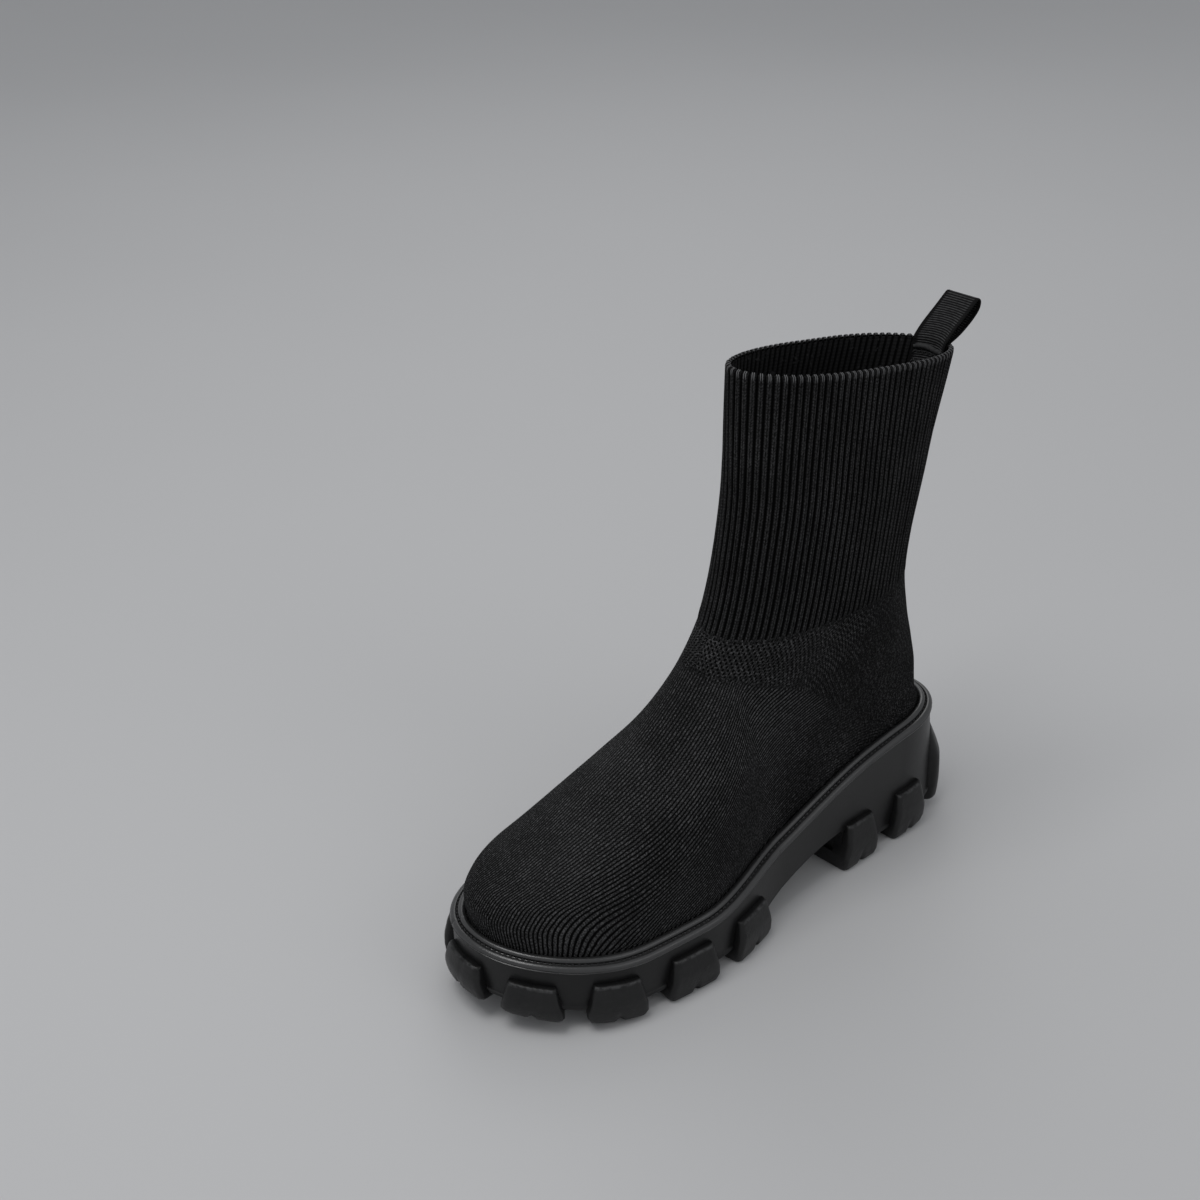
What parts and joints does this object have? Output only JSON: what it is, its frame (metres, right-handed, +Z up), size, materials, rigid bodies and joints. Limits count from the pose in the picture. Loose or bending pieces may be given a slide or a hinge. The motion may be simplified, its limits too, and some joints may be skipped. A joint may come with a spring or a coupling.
{
  "type": "sock boot",
  "caption": "Left sock boot: tall ribbed knit shaft over a knitted foot, a webbing pull loop at the back, and a thick moulded platform sole with a raised heel and chunky lugs.",
  "frame": {"origin": "middle of the boot's bounding box, at the floor it stands on", "axes": "+Z up; -Y towards the toe and +Y towards the heel; +X towards the outer side, as it is a left boot"},
  "size_m": [0.1072, 0.2944, 0.2618],
  "materials": {
    "sole_rubber": "matt, with a fine cast grain on the lugs",
    "welt_rubber": "satin on the bead, matt on the ledge",
    "knit": "matt knit, ribbed on the shaft",
    "lining": "matt",
    "webbing": "crosswise ribbed webbing"
  },
  "bodies": {
    "root": {"outsole": "sole_rubber", "welt": "welt_rubber", "upper": "knit", "insole": "lining", "pull_loop": "webbing"}
  },
  "joints": []
}
